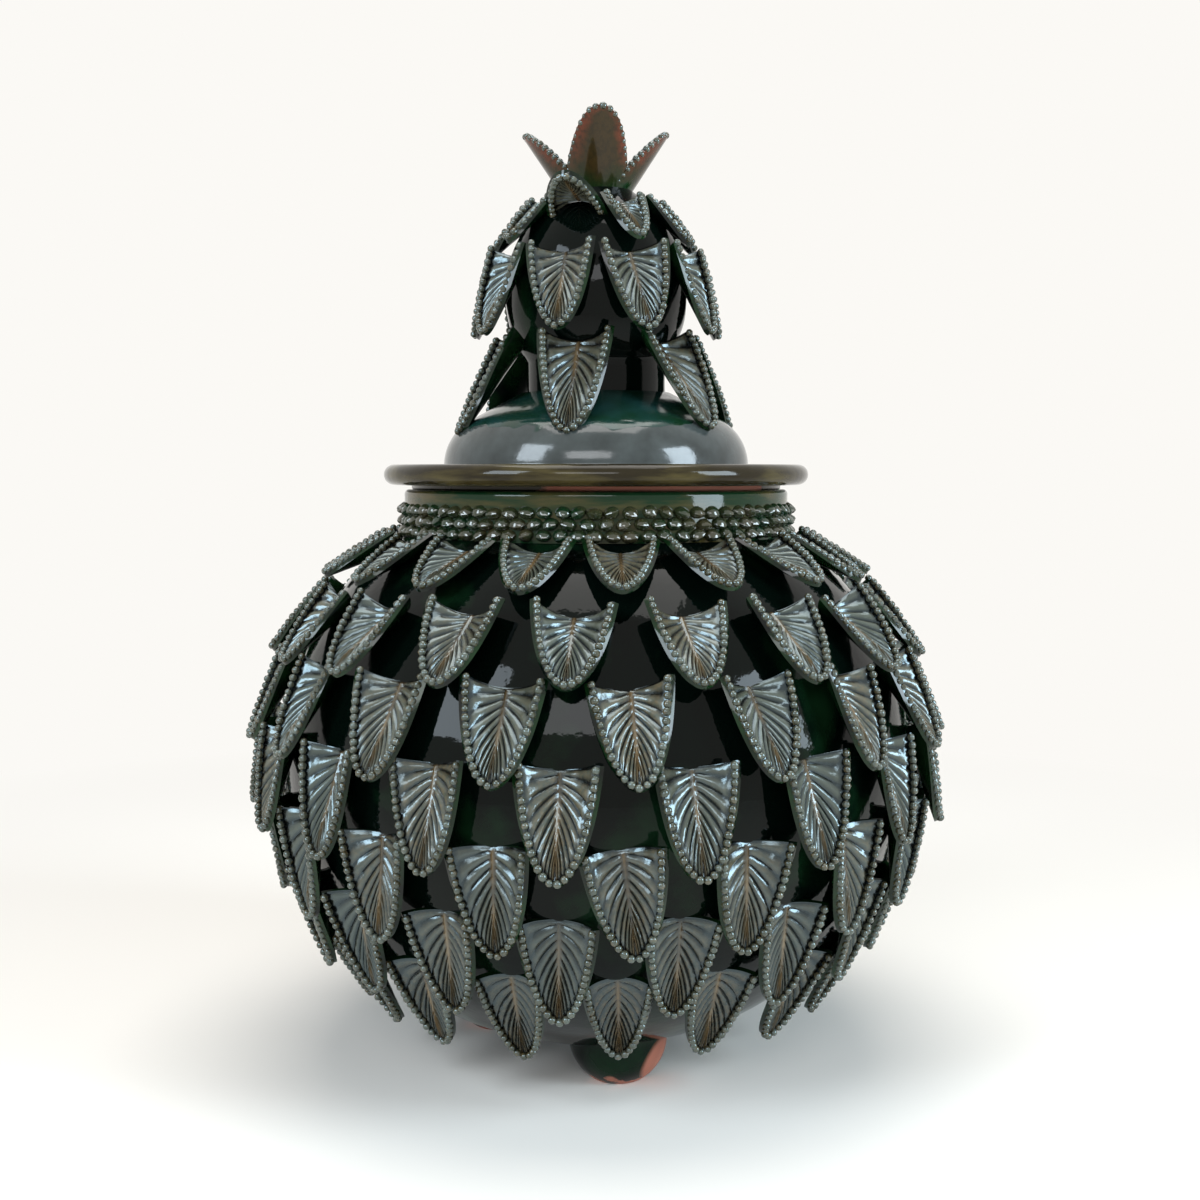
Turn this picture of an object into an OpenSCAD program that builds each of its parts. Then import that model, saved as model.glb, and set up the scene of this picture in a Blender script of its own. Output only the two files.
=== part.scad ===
// Pineapple jar with a lift-off lid, in green glazed earthenware
// The globe is two moulded bowls with a collar on top, covered by rows of pressed trough leaves
// The front of the jar looks along -Y, +Z is up and the three feet stand on Z = 0

/* [Globe] */
// Radius of the bare globe at its widest
globe_r = 132; // [120:1:144]
// Radius of the profile arc above the widest point
shoulder_arc = 102; // [94:1:110]
// Radius of the profile arc below the widest point
belly_arc = 122; // [112:1:132]
// Thickness of the clay wall
wall_t = 7; // [5:0.5:10]
// Radius of the flat underside
base_r = 32; // [26:1:38]
// Height of the flat underside above the table
base_z = 9; // [6:0.5:12]

/* [Feet] */
// Radius of the circle that the feet stand on
foot_ring_r = 46; // [40:1:52]
// Radius of each ball foot
foot_ball_r = 20; // [18:0.5:23]
// Radius of the flat that each foot stands on
foot_flat_r = 10.5; // [8:0.5:13]
// Turn of the front foot to the right of the front
foot_turn = 11; // [0:1:20]

/* [Collar] */
// Outer radius of the collar
collar_r = 80.5; // [74:0.5:86]
// Thickness of the collar
collar_t = 7.5; // [6:0.5:9]
// Height of the collar's outer face, from the shoulder to the rim
collar_h = 19.5; // [19:0.5:24]
// Chamfer round the outside of the rim
rim_chamfer = 2; // [1:0.5:3]

/* [Collar pellets] */
// Pellets in each row round the collar
pellet_count = 76; // [60:1:78]
// Radius of one pellet
pellet_r = 2.6; // [2:0.1:2.8]
// Height that the pellets' centres stand off the collar
pellet_lift = 0.6; // [0:0.1:1]
// Distance from the rim down to the top row
pellet_drop = 8.2; // [7:0.1:8.5]
// Distance from one pellet row to the next
pellet_pitch = 4.3; // [4.2:0.1:4.4]

/* [Leaf] */
// Width of a leaf across its upper corners
leaf_w = 31.5; // [26:0.5:32]
// Length of a full leaf from its upper edge to its tip
leaf_len = 41.5; // [38:0.5:43]
// Radius of the trough in the leaf's face
trough_r = 15.5; // [15:0.5:20]
// Thickness of the leaf's blade
blade_t = 2.2; // [1.6:0.1:3]
// Height of the rim round the leaf above its face
leaf_rim_h = 1.2; // [0.6:0.1:2]
// Width of the rim round the leaf
leaf_rim_w = 2.4; // [1.6:0.1:3.5]
// Radius of the leaf's rounded tip
leaf_tip_r = 9; // [9:0.5:12]
// Angle at which the sides of the leaf draw in from its upper corners
leaf_taper = 10; // [4:1:11]
// Distance past the tip at which the two sides of the leaf would meet
side_overrun = 4; // [3:0.5:8]
// Main veins on each side of the midrib
vein_count = 2; // [1:1:3]
// Width of the midrib and of a vein
vein_w = 1.4; // [1:0.1:2]
// Height of the midrib and the veins above the leaf's face
vein_h = 0.8; // [0.4:0.1:1.1]
// Distance that the midrib and the veins stop short of the rim
vein_gap = 2.5; // [2:0.1:3.5]
// Depth that the upper edge of a leaf is pressed into its seat
seat_depth = 1.5; // [1:0.1:2.5]

/* [Leaf rows] */
// Leaves in each row round the globe
leaf_count = 18; // [16:1:18]
// Outward lean of the leaves above the widest point
shoulder_lean = 11; // [9:0.5:15]
// Outward lean of the leaves below the widest point
belly_lean = 8; // [6:0.5:11]
// Distance along the shoulder from the collar to the first row
collar_gap = 6; // [4:0.5:9]
// Distance along the surface from the first row to the second
first_pitch = 32; // [28:0.5:36]
// Distance along the surface between the other rows
row_pitch = 28; // [26:0.5:29]
// Gap between the upper corners of neighbouring leaves in the first row
leaf_clear = 0.4; // [0.3:0.1:1]
// Length of the short leaves in the first row
collar_leaf_len = 32; // [26:0.5:34]
// Growth of the leaves from one row to the next until they are full
leaf_growth = 3.5; // [2:0.5:5]
// Narrowing of the leaves from one row to the next in the last two rows
leaf_narrowing = 1.5; // [1:0.5:2.5]

/* [Lid] */
// Radius of the lid's flange at its rolled lip
flange_r = 89; // [84:0.5:96]
// Thickness of the flange
flange_t = 7; // [5:0.5:8]
// Radius of the rolled lip
lip_r = 4.2; // [4.1:0.1:5]
// Radius of the dome where it rises from the flange
dome_r = 64; // [58:0.5:68]
// Radius of the rounded shoulder of the dome
dome_arc = 22; // [20:0.5:24]
// Height of the lid from the rim of the jar to the knob
lid_h = 40; // [38:0.5:42]
// Thickness of the lid's wall
lid_t = 6; // [4:0.5:8]
// Height of the bare step that rests on the rim
step_h = 2.5; // [1.5:0.5:4]
// Distance that the bare step stays inside the collar's outer face
step_inset = 3; // [2:0.5:4]
// Depth of the ring that locates the lid in the collar
ring_h = 10; // [8:0.5:14]
// Thickness of the locating ring
ring_t = 6; // [4:0.5:7]
// Gap between the locating ring and the collar
ring_gap = 0.8; // [0.5:0.1:1.5]

/* [Knob] */
// Radius of the knob's core at its widest
knob_r = 38; // [35:0.5:41]
// Radius of the profile arc of the knob's core
knob_arc = 50; // [46:0.5:54]
// Height of the core's widest point above the lid
knob_rise = 41; // [39:0.5:43]
// Height of the core's flat top above its widest point
knob_top_h = 46; // [44:0.5:47]
// Radius of the stem between the lid and the core
stem_r = 29; // [26:0.5:31]
// Leaves in each of the two upper knob rows
knob_count = 9; // [8:1:9]
// Leaves in the skirt row, which stands on the dome
skirt_count = 6; // [4:1:6]
// Width of the leaves in the top row
bud_leaf_w = 19.5; // [16:0.5:20]
// Radius of the trough in the leaves of the top row
bud_trough_r = 8.5; // [8:0.5:10]
// Length of the leaves in the top row
bud_leaf_len = 25; // [22:0.5:27]
// Width of the leaf in the top row that is turned over
canopy_w = 26; // [22:0.5:28]
// Length of the leaf that is turned over
canopy_len = 24; // [20:0.5:26]
// Radius of the trough in the leaf that is turned over
canopy_trough_r = 12; // [11.5:0.5:15]
// Width of the leaves in the middle row
knob_leaf_w = 28; // [24:0.5:29]
// Radius of the trough in the leaves of the middle row and of the crown
knob_trough_r = 13.5; // [13:0.5:16]
// Length of the leaves in the middle row
knob_leaf_len = 37; // [34:0.5:38]

/* [Crown] */
// Width of the crown's leaves
crown_leaf_w = 26; // [22:0.5:27]
// Length of the crown's front and back leaves
crown_leaf_len = 35.5; // [31:0.5:38]
// Length of the crown's side leaves
crown_side_len = 33; // [30:0.5:36]
// Distance past a crown leaf's tip at which its two sides would meet
crown_overrun = 2; // [1:0.5:4]
// Angle at which the sides of a crown leaf draw in from its foot
crown_taper = 0; // [0:1:8]
// Distance from the axis to the foot of a crown leaf
crown_ring_r = 12; // [11:0.5:14]
// Gap between neighbouring crown leaves
crown_gap = 0.4; // [0.3:0.1:0.8]

/* [Hidden] */
$fn = 96;

// Colours of the glaze, the leaves and the pellets
glaze_green = "#1f3b29";
leaf_olive = "#55573c";
pellet_olive = "#5d6340";
crown_amber = "#6b4a2a";

// Centres of the two profile arcs and the heights that follow from them
shoulder_x = globe_r - shoulder_arc;
belly_x = globe_r - belly_arc;
globe_z = base_z + sqrt(pow(belly_arc, 2) - pow(base_r - belly_x, 2));
foot_z = sqrt(pow(foot_ball_r, 2) - pow(foot_flat_r, 2));
foot_step = 360 / 3;

// Collar, rim and lid heights
collar_lat = acos((collar_r - shoulder_x) / shoulder_arc);
rim_z = globe_z + shoulder_arc * sin(collar_lat) + collar_h;
collar_bore = collar_r - collar_t;
flange_z = rim_z + step_h;
flange_top = flange_z + flange_t;
lid_top = rim_z + lid_h;
dome_x = dome_r - dome_arc;
cone_foot_lat = 62;
cone_foot_inset = 0.5;
ring_r = collar_bore - ring_gap;

// Distance that a cutting shape runs past the faces it cuts
cut = 1;

// Knob core and the places of its leaves
knob_x = knob_r - knob_arc;
knob_z = lid_top + knob_rise;
stem_h = knob_rise / 2;
stem_ledge = 2.5;
bud_lat = 44;
bud_rise = 50;
canopy_rise = 105;
knob_lat = 16;
knob_leaf_rise = 27;
skirt_lat = -25;
skirt_rise = 36;
skirt_reach = 46;
bud_turn = 24;
knob_turn = 21;
skirt_turn = -12;

// How the feet of the veins crowd to the top of the midrib, and their ends to the tip
rib_run = 1.2;
edge_run = 1.5;

// How the ends of the veins follow the outline across and along the leaf
edge_close = 1.33;
edge_reach = 1.6;

// Room left above the first vein and below the last, in steps from vein to vein
vein_lead = 0.75;
vein_rest = 2.75;

// Turn of each row's first leaf to the right of the front, as the hand set them
row_turn = [6, -4, 5.6, -5.4, 4, -6, 4];
row_count = len(row_turn);
narrowed_rows = 2;

// Crown leaves: lean from the vertical and height of their feet above the core's middle
crown_lean = 26;
crown_side_lean = 35;
crown_foot_rise = 42;

// Turn that brings the middle of a quarter of space to the front
quarter_turn = -135;

// Points on the profile of the globe and of the knob at an angle above or below the widest point
function globe_arc(lat) = lat >= 0 ? shoulder_arc : belly_arc;
function globe_seat_r(lat) = globe_r - globe_arc(lat) + globe_arc(lat) * cos(lat);
function globe_seat_z(lat) = globe_z + globe_arc(lat) * sin(lat);
function knob_seat_r(lat) = knob_x + knob_arc * cos(lat);
function knob_seat_z(lat) = knob_z + knob_arc * sin(lat);

// Angle on the globe's profile at a distance along the surface from the widest point
function lat_at(s) = (s >= 0 ? s / shoulder_arc : s / belly_arc) * 180 / PI;
first_row_s = collar_lat * PI / 180 * shoulder_arc - collar_gap;
function row_s(i) = i == 1 ? first_row_s : first_row_s - first_pitch - (i - 2) * row_pitch;

// Half of the globe's profile above the widest point, drawn in from the outside
module shoulder_profile(inset) {
    intersection() {
        translate([shoulder_x, globe_z]) circle(r = shoulder_arc - inset);
        translate([0, globe_z]) square([globe_r, shoulder_arc + cut]);
    }
}

// Half of the globe's profile below the widest point, with its flat underside
module belly_profile(inset) {
    intersection() {
        translate([belly_x, globe_z]) circle(r = belly_arc - inset);
        translate([0, base_z + inset]) square([globe_r, globe_z - base_z - inset]);
    }
}

// The filled globe, which everything luted to it is cut by
module globe_solid() {
    rotate_extrude() shoulder_profile(0);
    rotate_extrude() belly_profile(0);
}

// Angle from the middle of a leaf's trough to its upper corners
function leaf_spread(width, trough) = asin(width / 2 / (trough + blade_t));

// Length of a cutter that passes right through a leaf
function leaf_cut(trough) = 4 * (trough + blade_t);

// One side of a leaf's outline: a sweep that draws in from an upper corner and closes past the tip
module leaf_side(side, width, length, trough, overrun, taper, inset) {
    spread = leaf_spread(width, trough);
    half = trough * sin(spread);
    meet = length + overrun;
    sweep = (pow(meet, 2) + pow(half, 2)) / (2 * (half * cos(taper) - meet * sin(taper)));
    through = leaf_cut(trough);
    rotate([0, -side * spread, 0])
        translate([-side * sweep * cos(taper), -sweep * sin(taper), 0])
            cylinder(r = sweep - inset, h = through, center = true);
}

// Everything above a leaf's tip, which is rounded
module leaf_tip(width, length, trough, inset) {
    through = leaf_cut(trough);
    translate([0, length - leaf_tip_r, 0]) {
        cylinder(r = leaf_tip_r - inset, h = through, center = true);
        translate([-width, -length - cut, -through / 2]) cube([2 * width, length + cut, through]);
    }
}

// What lies within a leaf's outline, drawn in from it by an inset
module leaf_outline(width, length, trough, overrun, taper, inset) {
    intersection() {
        children();
        leaf_side(1, width, length, trough, overrun, taper, inset);
        leaf_side(-1, width, length, trough, overrun, taper, inset);
        leaf_tip(width, length, trough, inset);
    }
}

// Bars along the midrib and the main veins, which slope to the tip more steeply further down the leaf
module vein_bars(width, length, trough) {
    deep = trough + blade_t / 2;
    short = leaf_rim_w + vein_gap;
    translate([-vein_w / 2, vein_w, -deep]) cube([vein_w, length - vein_w - short, deep]);
    for (k = [1 : vein_count], side = [0, 1]) {
        share = (k - 1 + vein_lead) / (vein_count - 1 + vein_lead + vein_rest);
        sweep = 90 * (1 - pow(1 - share, edge_run));
        foot = length * pow(share, rib_run);
        out = trough * sin(leaf_spread(width, trough) * pow(cos(sweep), edge_close));
        down = length * pow(sin(sweep), edge_reach) - foot;
        translate([0, foot, -deep])
            mirror([side, 0, 0])
                rotate([0, 0, atan2(down, out)])
                    translate([0, -vein_w / 2, 0])
                        cube([norm([out, down]) - short, vein_w, deep]);
    }
}

// What is taken out of a leaf inside its rim: the trough, without the midrib and the veins
module leaf_hollow(width, length, trough, overrun, taper) {
    difference() {
        leaf_outline(width, length, trough, overrun, taper, leaf_rim_w)
            translate([0, -cut, 0]) rotate([-90, 0, 0]) cylinder(r = trough, h = length + 3 * cut);
        difference() {
            vein_bars(width, length, trough);
            rotate([-90, 0, 0]) cylinder(r = trough - vein_h, h = 2 * length);
        }
    }
}

// A pressed leaf: a veined trough with a raised rim, along +Y to its tip and open towards +Z
module leaf(width, length, trough, overrun = side_overrun, taper = leaf_taper) {
    back_r = trough + blade_t;
    translate([0, 0, back_r - seat_depth])
        difference() {
            leaf_outline(width, length, trough, overrun, taper, 0)
                rotate([-90, 0, 0])
                    difference() {
                        cylinder(r = back_r, h = length + cut);
                        translate([0, 0, -cut]) cylinder(r = trough - leaf_rim_h, h = length + 3 * cut);
                    }
            leaf_hollow(width, length, trough, overrun, taper);
        }
}

// Sets a leaf with its upper edge at a radius and height, its face turned up by rise
module set_leaf(r, z, rise, turn) {
    rotate([0, 0, turn])
        translate([0, -r, z])
            rotate([90 - rise, 0, 0])
                rotate([0, 0, 180])
                    children();
}

module lower_bowl() {
    color(glaze_green)
        rotate_extrude()
            difference() {
                belly_profile(0);
                belly_profile(wall_t);
            }
}

module upper_bowl() {
    color(glaze_green)
        rotate_extrude()
            difference() {
                shoulder_profile(0);
                shoulder_profile(wall_t);
                square([collar_bore, globe_z + shoulder_arc + cut]);
            }
}

// Filled collar, which the pellets are cut by
module collar_solid() {
    rotate_extrude()
        polygon([
            [0, globe_z],
            [collar_r, globe_z],
            [collar_r, rim_z - rim_chamfer],
            [collar_r - rim_chamfer, rim_z],
            [0, rim_z]
        ]);
}

module collar() {
    color(glaze_green)
        difference() {
            collar_solid();
            globe_solid();
            cylinder(r = collar_bore, h = rim_z + cut);
        }
}

module foot(turn) {
    color(glaze_green)
        difference() {
            rotate([0, 0, turn]) translate([0, -foot_ring_r, foot_z]) sphere(r = foot_ball_r);
            globe_solid();
            translate([0, 0, -foot_ball_r]) cylinder(r = globe_r, h = foot_ball_r);
        }
}

// A pellet pressed flat against the collar behind it
module pellet() {
    difference() {
        translate([0, -pellet_lift, 0]) sphere(r = pellet_r);
        translate([-pellet_r, 0, -pellet_r]) cube(2 * pellet_r);
    }
}

// One row of pellets round the collar, turned by half a pellet from the row above
module collar_pellets(row) {
    step = 360 / pellet_count;
    color(pellet_olive)
        for (k = [0 : pellet_count - 1])
            rotate([0, 0, (k + row / 2) * step])
                translate([0, -collar_r, rim_z - pellet_drop - row * pellet_pitch])
                    pellet();
}

module leaf_row(i) {
    lat = lat_at(row_s(i));
    room = 2 * globe_seat_r(lat) * tan(180 / leaf_count);
    width = i == 1 ? room - leaf_clear : leaf_w - max(0, i - row_count + narrowed_rows) * leaf_narrowing;
    rise = lat + (lat >= 0 ? shoulder_lean : belly_lean);
    length = min(leaf_len, collar_leaf_len + (i - 1) * leaf_growth);
    color(leaf_olive)
        difference() {
            for (k = [0 : leaf_count - 1])
                set_leaf(globe_seat_r(lat), globe_seat_z(lat), rise, row_turn[i - 1] + k * 360 / leaf_count)
                    leaf(width, length, trough_r);
            globe_solid();
        }
}

// Outside of the lid above the rim, drawn in from the outside by an inset
module lid_profile(inset) {
    cone_foot_r = dome_arc - inset - cone_foot_inset;
    intersection() {
        union() {
            translate([dome_x, flange_top]) circle(r = dome_arc - inset);
            polygon([
                [0, flange_z],
                [dome_x, flange_z],
                [dome_x + cone_foot_r * cos(cone_foot_lat), flange_top + cone_foot_r * sin(cone_foot_lat)],
                [stem_r + stem_ledge, lid_top - inset],
                [0, lid_top - inset]
            ]);
        }
        translate([0, flange_z]) square([dome_r, lid_h]);
    }
}

// Filled upper face of the lid, which the knob's pieces are cut by
module lid_solid() {
    rotate_extrude() lid_profile(0);
}

module lid_cover() {
    color(glaze_green)
        rotate_extrude()
            difference() {
                union() {
                    lid_profile(0);
                    translate([0, flange_z]) square([flange_r - lip_r, flange_t]);
                    translate([flange_r - lip_r, flange_z + flange_t / 2]) circle(r = lip_r);
                    translate([0, rim_z]) square([collar_r - step_inset, step_h + cut]);
                    translate([0, rim_z - ring_h]) square([ring_r, ring_h + cut]);
                }
                lid_profile(lid_t);
                translate([0, rim_z - ring_h - cut]) square([ring_r - ring_t, ring_h + step_h + 2 * cut]);
            }
}

// Filled core and stem of the knob
module knob_solid() {
    rotate_extrude() {
        intersection() {
            translate([knob_x, knob_z]) circle(r = knob_arc);
            translate([0, lid_top]) square([knob_r, knob_rise + knob_top_h]);
        }
        translate([0, lid_top]) square([stem_r, stem_h]);
    }
}

module knob_core() {
    color(glaze_green) knob_solid();
}

// A row of leaves round the knob, which may leave the last place free
module knob_leaves(count, lat, rise, turn, width, length, trough, free = 0) {
    color(leaf_olive)
        difference() {
            for (k = [0 : count - 1 - free])
                set_leaf(knob_seat_r(lat), knob_seat_z(lat), rise, turn + k * 360 / count)
                    leaf(width, length, trough);
            knob_solid();
            lid_solid();
        }
}

// The leaf in the free place of the top row: turned over, it stands out like a canopy
module canopy_leaf() {
    color(leaf_olive)
        difference() {
            set_leaf(knob_seat_r(bud_lat), knob_seat_z(bud_lat), canopy_rise, bud_turn - 360 / knob_count)
                rotate([0, 180, 0])
                    leaf(canopy_w, canopy_len, canopy_trough_r);
            knob_solid();
        }
}

module knob_leaves_top() {
    knob_leaves(knob_count, bud_lat, bud_rise, bud_turn, bud_leaf_w, bud_leaf_len, bud_trough_r, free = 1);
    canopy_leaf();
}

// The quarter of space that one crown leaf keeps to
module crown_quarter(turn) {
    rotate([0, 0, turn + quarter_turn])
        translate([crown_gap / 2, crown_gap / 2, lid_top])
            cube(globe_r);
}

module crown_leaf(turn, lean, length) {
    color(crown_amber)
        difference() {
            intersection() {
                set_leaf(crown_ring_r, knob_z + crown_foot_rise, 180 - lean, turn)
                    leaf(crown_leaf_w, length, knob_trough_r, crown_overrun, crown_taper);
                crown_quarter(turn);
            }
            knob_solid();
        }
}

lower_bowl();
upper_bowl();
collar();
foot(foot_turn);  // foot_front
foot(foot_turn + foot_step);  // foot_right
foot(foot_turn - foot_step);  // foot_left
collar_pellets(0);  // collar_pellets_top
collar_pellets(1);  // collar_pellets_middle
collar_pellets(2);  // collar_pellets_bottom
leaf_row(1);  // leaf_row_1
leaf_row(2);  // leaf_row_2
leaf_row(3);  // leaf_row_3
leaf_row(4);  // leaf_row_4
leaf_row(5);  // leaf_row_5
leaf_row(6);  // leaf_row_6
leaf_row(7);  // leaf_row_7
lid_cover();
knob_core();
knob_leaves_top();
knob_leaves(knob_count, knob_lat, knob_leaf_rise, knob_turn, knob_leaf_w, knob_leaf_len, knob_trough_r);  // knob_leaves_middle
knob_leaves(skirt_count, skirt_lat, skirt_rise, skirt_turn, leaf_w, skirt_reach, trough_r);  // knob_leaves_skirt
crown_leaf(0, crown_lean, crown_leaf_len);  // crown_leaf_front
crown_leaf(90, crown_side_lean, crown_side_len);  // crown_leaf_right
crown_leaf(180, crown_lean, crown_leaf_len);  // crown_leaf_back
crown_leaf(-90, crown_side_lean, crown_side_len);  // crown_leaf_left
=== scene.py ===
"""Glazed pineapple jar: its globe, leaves, beads, pellets, lid, knob, crown and their glazes."""

import math
import random

import bmesh
import bpy
from bpy.props import FloatProperty, FloatVectorProperty, IntProperty, PointerProperty
from mathutils import Matrix, Vector, noise


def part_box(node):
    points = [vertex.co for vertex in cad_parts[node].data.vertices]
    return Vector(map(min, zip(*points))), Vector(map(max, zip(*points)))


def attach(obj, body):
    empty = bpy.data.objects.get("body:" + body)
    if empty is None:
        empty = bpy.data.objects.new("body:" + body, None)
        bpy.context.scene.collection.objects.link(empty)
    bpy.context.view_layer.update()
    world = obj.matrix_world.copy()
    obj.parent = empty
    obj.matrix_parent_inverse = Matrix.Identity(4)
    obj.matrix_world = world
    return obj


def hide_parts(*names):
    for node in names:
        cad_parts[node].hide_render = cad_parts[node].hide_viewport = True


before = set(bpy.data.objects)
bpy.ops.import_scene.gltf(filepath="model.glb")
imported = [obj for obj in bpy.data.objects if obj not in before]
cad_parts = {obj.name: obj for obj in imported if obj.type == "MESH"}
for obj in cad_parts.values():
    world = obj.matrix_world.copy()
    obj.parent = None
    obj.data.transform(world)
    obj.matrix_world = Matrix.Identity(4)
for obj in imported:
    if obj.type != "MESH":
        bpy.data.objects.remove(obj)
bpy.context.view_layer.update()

bl_info = {
    "name": "Glazed Pineapple Jar",
    "version": (1, 0, 0),
    "blender": (4, 5, 0),
    "location": "View3D > Sidebar > Jar",
    "description": "Models a lidded pineapple jar with beaded leaves around its packed solids",
    "category": "Object",
}

ROWS = [f"leaf_row_{i}" for i in range(1, 8)]
PELLET_ROWS = ["collar_pellets_top", "collar_pellets_middle", "collar_pellets_bottom"]
# Crown leaves with their turns from the front, in degrees.
CROWN = {
    "crown_leaf_front": 0, "crown_leaf_right": 90, "crown_leaf_back": 180, "crown_leaf_left": -90,
}
FEET = ["foot_front", "foot_right", "foot_left"]


def length(name, description, default):
    """A size in metres that a user can change."""
    return FloatProperty(
        name=name, description=description, default=default, unit="LENGTH", precision=4
    )


def turn(name, description, degrees):
    """An angle that a user can change."""
    return FloatProperty(
        name=name, description=description, default=math.radians(degrees), subtype="ANGLE"
    )


def number(name, description, default):
    """A count that a user can change."""
    return IntProperty(name=name, description=description, default=default)


def colour(name, description, default):
    """A linear colour that a user can change."""
    return FloatVectorProperty(
        name=name, description=description, default=(*default, 1.0),
        size=4, subtype="COLOR", min=0, max=1,
    )


def radius_of(node):
    """Reach of a node along +X, which is the radius of a turned piece."""
    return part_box(node)[1].x


def foot_of(node):
    """Lowest height of a node."""
    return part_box(node)[0].z


def top_of(node):
    """Highest height of a node."""
    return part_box(node)[1].z


class JarSizes(bpy.types.PropertyGroup):
    """Sizes of the globe, the collar, its pellets and the feet."""

    globe_r: length("Globe radius", "Radius of the globe at its widest", radius_of("lower_bowl"))
    globe_z: length("Globe height", "Height of the globe's widest point", top_of("lower_bowl"))
    base_z: length("Base height", "Height of the flat underside", foot_of("lower_bowl"))
    base_r: length("Base radius", "Radius of the flat underside", 0.032)
    wall_t: length("Wall", "Thickness of the clay wall", 0.007)
    collar_r: length("Collar radius", "Outer radius of the collar", radius_of("collar"))
    collar_t: length("Collar wall", "Thickness of the collar", 0.0075)
    rim_z: length("Rim height", "Height of the rim that the lid rests on", top_of("collar"))
    neck_z: length("Neck height", "Height at which the upper bowl ends", top_of("upper_bowl"))
    rim_round: length("Rim rounding", "Rounding of the rim's edges", 0.002)
    wobble: length("Wobble", "Unevenness of the turned surfaces", 0.0006)
    pellet_count: number("Pellets", "Pellets in each row", 76)
    pellet_w: length("Pellet width", "Half width of a pellet along the collar", 0.0034)
    pellet_h: length("Pellet height", "Half height of a pellet", 0.0027)
    pellet_out: length("Pellet depth", "Reach of a pellet from the collar", 0.0034)
    foot_ring_r: length("Foot ring", "Radius of the circle that the feet stand on", 0.046)
    foot_ball_r: length("Foot radius", "Radius of a ball foot", 0.020)
    foot_flat_r: length("Foot flat", "Radius of the flat that a foot stands on", 0.0105)
    foot_turn: turn("Foot turn", "Turn of the front foot to the right of the front", 11)


class LeafSizes(bpy.types.PropertyGroup):
    """Sizes of the pressed leaves and of their rows on the globe."""

    width: length("Leaf width", "Width of a leaf across its upper corners", 0.0322)
    full: length("Leaf length", "Length of a full leaf", 0.0405)
    first: length("First length", "Length of the leaves in the first row", 0.032)
    growth: length("Growth", "Growth of the leaves from row to row", 0.0035)
    narrowing: length("Narrowing", "Narrowing of the leaves in each of the last two rows", 0.0020)
    trough: length("Trough", "Radius of the trough in a leaf's face", 0.0158)
    blade: length("Blade", "Thickness of a leaf's blade", 0.0022)
    seat: length("Seat", "Depth that a leaf is pressed into its seat", 0.0025)
    rim: length("Rim", "Width of the rim that carries the beads", 0.0021)
    bead_r: length("Bead radius", "Radius of one bead", 0.0015)
    bead_pitch: length("Bead pitch", "Distance from bead to bead", 0.0030)
    vein_count: number("Veins", "Veins on each side of the midrib", 12)
    vein_h: length("Vein height", "Height of the veins above the face", 0.00095)
    rib_h: length("Midrib height", "Height of the midrib above the face", 0.0009)
    count: number("Leaves", "Leaves in each row round the globe", 18)
    shoulder_lean: turn("Shoulder lean", "Outward lean of the leaves above the widest point", 11)
    belly_lean: turn("Belly lean", "Outward lean of the leaves below the widest point", 8)
    collar_gap: length("Collar gap", "Distance from the collar to the first row", 0.006)
    clear: length("First gap", "Gap between neighbouring leaves in the first row", 0.0004)
    first_pitch: length("First pitch", "Distance from the first row to the second", 0.032)
    pitch: length("Row pitch", "Distance between the other rows", 0.028)


class LidSizes(bpy.types.PropertyGroup):
    """Sizes of the lid, the knob and the crown."""

    flange_r: length("Flange radius", "Radius of the flange at its lip", radius_of("lid_cover"))
    flange_t: length("Flange", "Thickness of the flange", 0.007)
    lip_r: length("Lip", "Radius of the rolled lip", 0.0042)
    dome_r: length("Dome radius", "Radius of the dome where it meets the flange", 0.064)
    dome_arc: length("Dome rounding", "Radius of the dome's rounded shoulder", 0.022)
    lid_z: length("Lid height", "Height of the lid's top", top_of("lid_cover"))
    lid_t: length("Lid wall", "Thickness of the lid's wall", 0.006)
    run_drop: length("Glaze run", "Depth of the thick glaze's edge below the lid's top", 0.0142)
    step_h: length("Step", "Height of the bare step that rests on the rim", 0.0025)
    step_inset: length("Step inset", "Distance from the collar's face to the step", 0.003)
    ring_z: length("Ring height", "Height of the locating ring's lower edge", foot_of("lid_cover"))
    ring_t: length("Ring", "Thickness of the locating ring", 0.006)
    ring_gap: length("Ring gap", "Gap between the locating ring and the collar", 0.0008)
    stem_r: length("Stem radius", "Radius of the knob's stem", 0.029)
    stem_ledge: length("Stem ledge", "Ledge round the stem on the lid's top", 0.0025)
    knob_r: length("Knob radius", "Radius of the knob's core at its widest", radius_of("knob_core"))
    knob_arc: length("Knob arc", "Radius of the core's profile", 0.050)
    knob_rise: length("Knob rise", "Height of the core's widest point above the lid", 0.041)
    knob_top: length("Knob top", "Height of the core's flat top", top_of("knob_core"))
    crown_w: length("Crown width", "Width of a crown leaf", 0.026)
    crown_len: length("Crown length", "Length of the crown's front and back leaves", 0.0340)
    crown_side_len: length("Crown side length", "Length of the crown's side leaves", 0.0300)
    crown_trough: length("Crown trough", "Radius of the trough in a crown leaf", 0.0135)
    crown_ring_r: length("Crown ring", "Distance from the axis to a crown leaf's foot", 0.012)
    crown_foot: length("Crown foot", "Height of the crown's foot above the core's middle", 0.042)


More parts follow.
